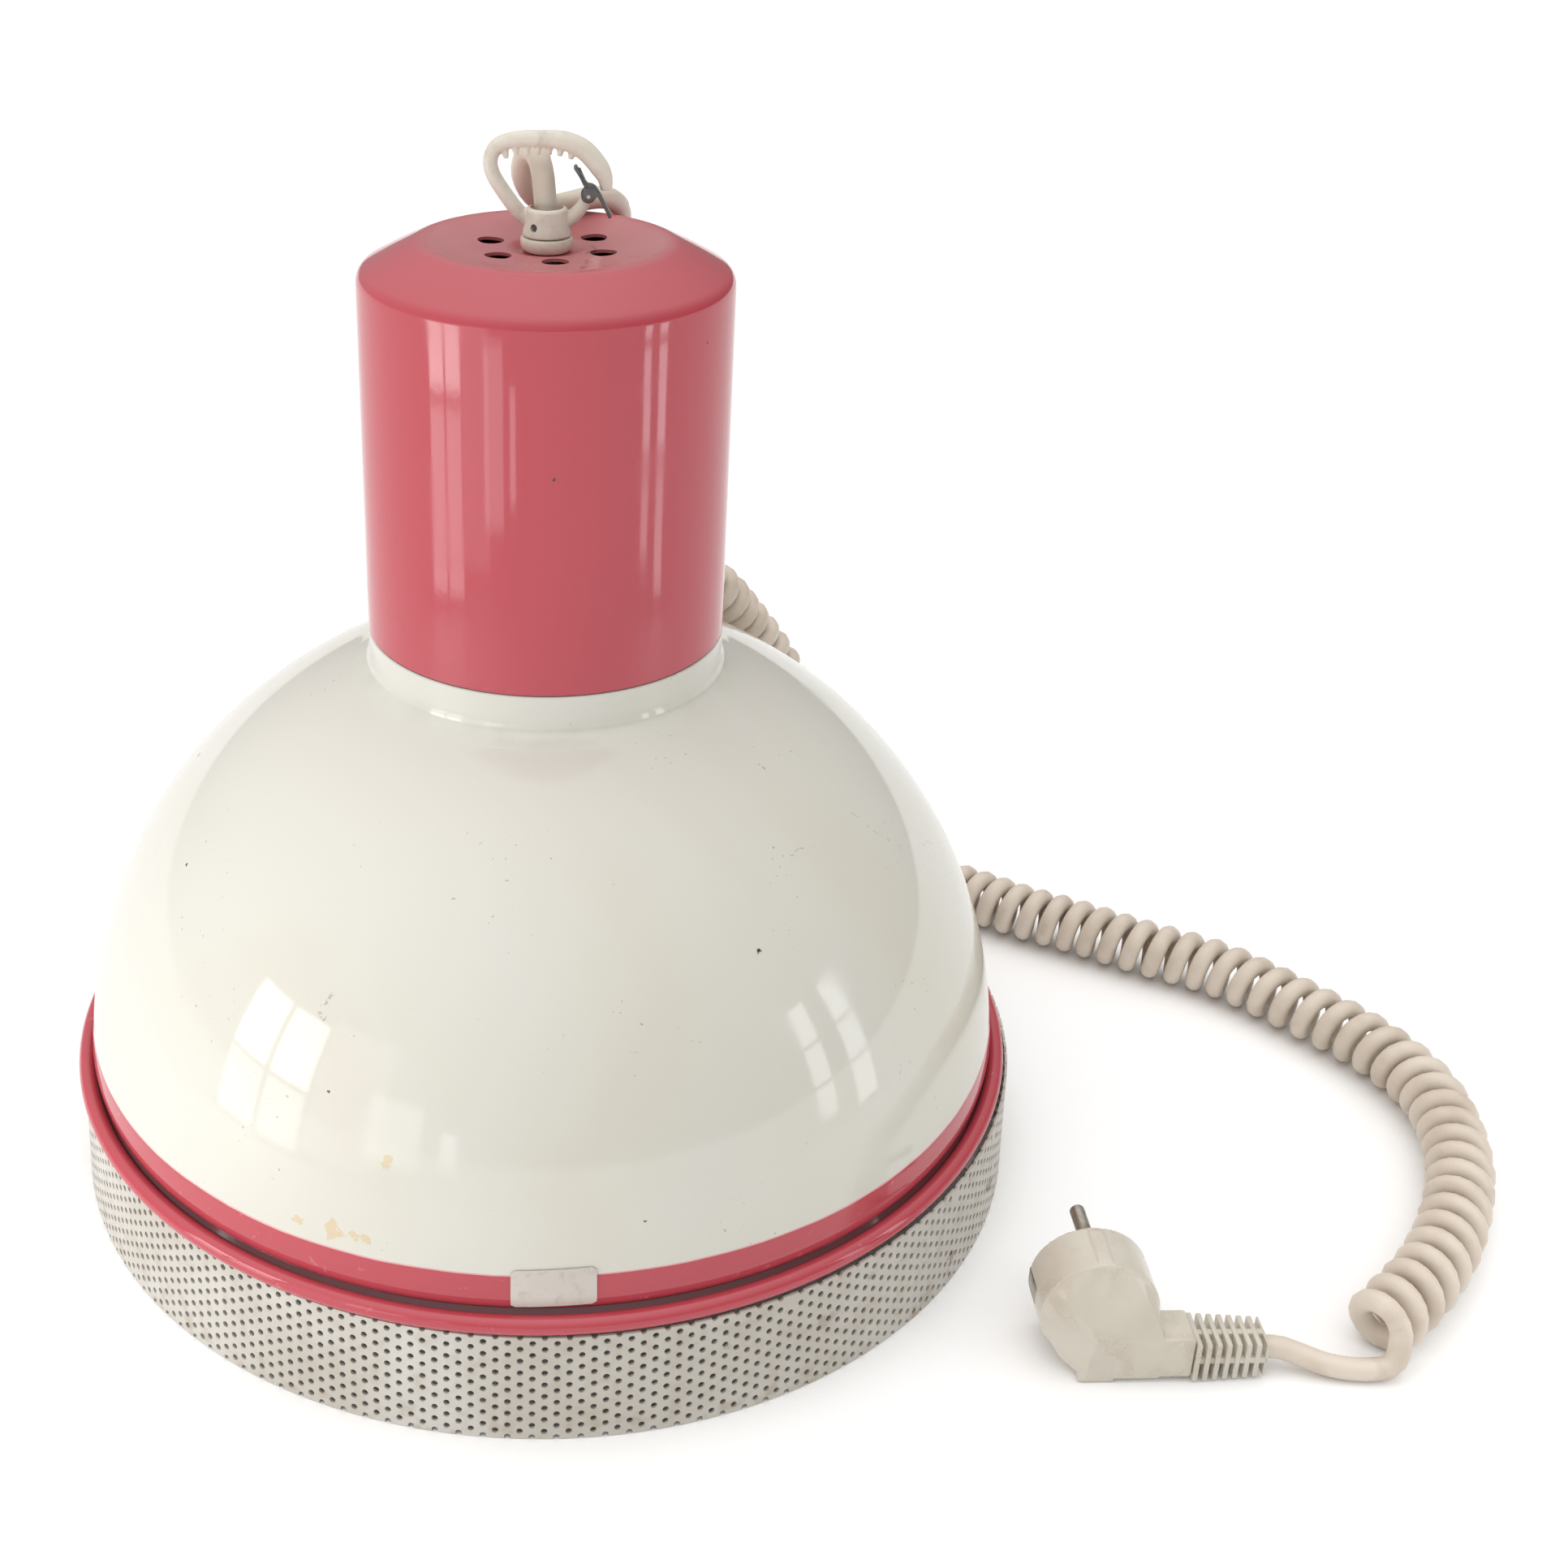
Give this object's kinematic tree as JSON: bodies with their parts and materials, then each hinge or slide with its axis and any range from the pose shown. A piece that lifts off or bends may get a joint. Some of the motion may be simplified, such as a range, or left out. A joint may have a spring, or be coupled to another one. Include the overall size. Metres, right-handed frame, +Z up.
{
  "type": "pendant lamp",
  "caption": "Vintage pendant lamp: domed metal shade with a perforated rim ring, a canister over the lampholder, a plastic hanger with a sprung gate, and a curly mains cord.",
  "frame": {"origin": "centre of the shade's axis at the surface that the lamp stands on, at the bottom edge of the perforated ring", "axes": "+Z up along the lamp's axis from the open shade to the hanger, +X to the right along the hanger's hoop, +Y to the back, where the cord leaves"},
  "size_m": [0.4881, 0.3232, 0.344],
  "materials": {
    "white_paint": "glossy stove enamel, chipped and scratched; its lower band and bead are pink",
    "pink_paint": "glossy stove enamel, dusty on top",
    "ring_white": "satin white paint on perforated sheet, some holes clogged",
    "white_plastic": "moulded white plastic, slightly yellowed",
    "aged_plastic": "aged translucent off-white PVC",
    "cord_plastic": "beige-grey PVC jacket",
    "black_bakelite": "black phenolic, moulded",
    "ceramic": "glazed white porcelain, opaque",
    "opal_glass": "opal white glass bulb",
    "black_glass": "black vitrite, opaque",
    "label_paper": "blank stuck-on label, worn",
    "dark_steel": "blackened steel",
    "spring_steel": "dull grey spring steel",
    "zinc": "zinc-plated steel",
    "brass": "plain stamped brass",
    "nickel": "dull nickel plating",
    "brown_wire": "brown PVC insulation",
    "blue_wire": "blue PVC insulation",
    "earth_wire": "green and yellow PVC insulation"
  },
  "bodies": {
    "root": {"shade_dome": "white_paint", "perforated_ring": "ring_white", "ring_clip_1": "spring_steel", "ring_clip_2": "spring_steel", "ring_clip_3": "spring_steel", "clip_rivet_1": "zinc", "clip_rivet_2": "zinc", "clip_rivet_3": "zinc", "blank_label": "label_paper", "canister": "pink_paint", "hanger_base": "white_plastic", "hanger_hook": "white_plastic", "set_screw": "dark_steel", "threaded_tube": "zinc", "gate_pin": "zinc", "top_washer": "zinc", "top_nut": "zinc", "stirrup_nut_upper": "zinc", "stirrup_nut_lower": "zinc", "stirrup": "zinc", "stirrup_screw_1": "zinc", "stirrup_screw_2": "zinc", "holder_cap": "black_bakelite", "holder_shell": "black_bakelite", "ceramic_insert": "ceramic", "terminal_screw_1": "brass", "terminal_screw_2": "brass", "screw_shell": "brass", "centre_contact": "brass", "inner_cable": "cord_plastic", "wire_brown": "brown_wire", "wire_blue": "blue_wire", "wire_earth": "earth_wire", "earth_tag": "brass", "cord_lead": "cord_plastic", "curly_cord": "cord_plastic", "cord_tail": "cord_plastic", "plug_body": "aged_plastic", "plug_pin_1": "nickel", "plug_pin_2": "nickel", "earth_clip_1": "nickel", "earth_clip_2": "nickel", "strain_relief": "aged_plastic"},
    "gate_body": {"gate": "spring_steel"},
    "bulb": {"bulb_glass": "opal_glass", "bulb_cap": "nickel", "bulb_insulator": "black_glass", "bulb_contact": "nickel"}
  },
  "joints": [
    {"name": "gate_hinge", "type": "hinge", "parent": "root", "child": "gate_body", "pos_m": [0.0122, 0, 0.3256], "axis": [0, -1, 0], "range_deg": [0, 30], "stiffness_Nm_per_rad": 0.004, "springref_deg": -9.74},
    {"name": "bulb_turn", "type": "hinge", "parent": "root", "child": "bulb", "pos_m": [0, 0, 0.21], "axis": [0, 0, -1], "range_deg": [0, 1800]}
  ]
}
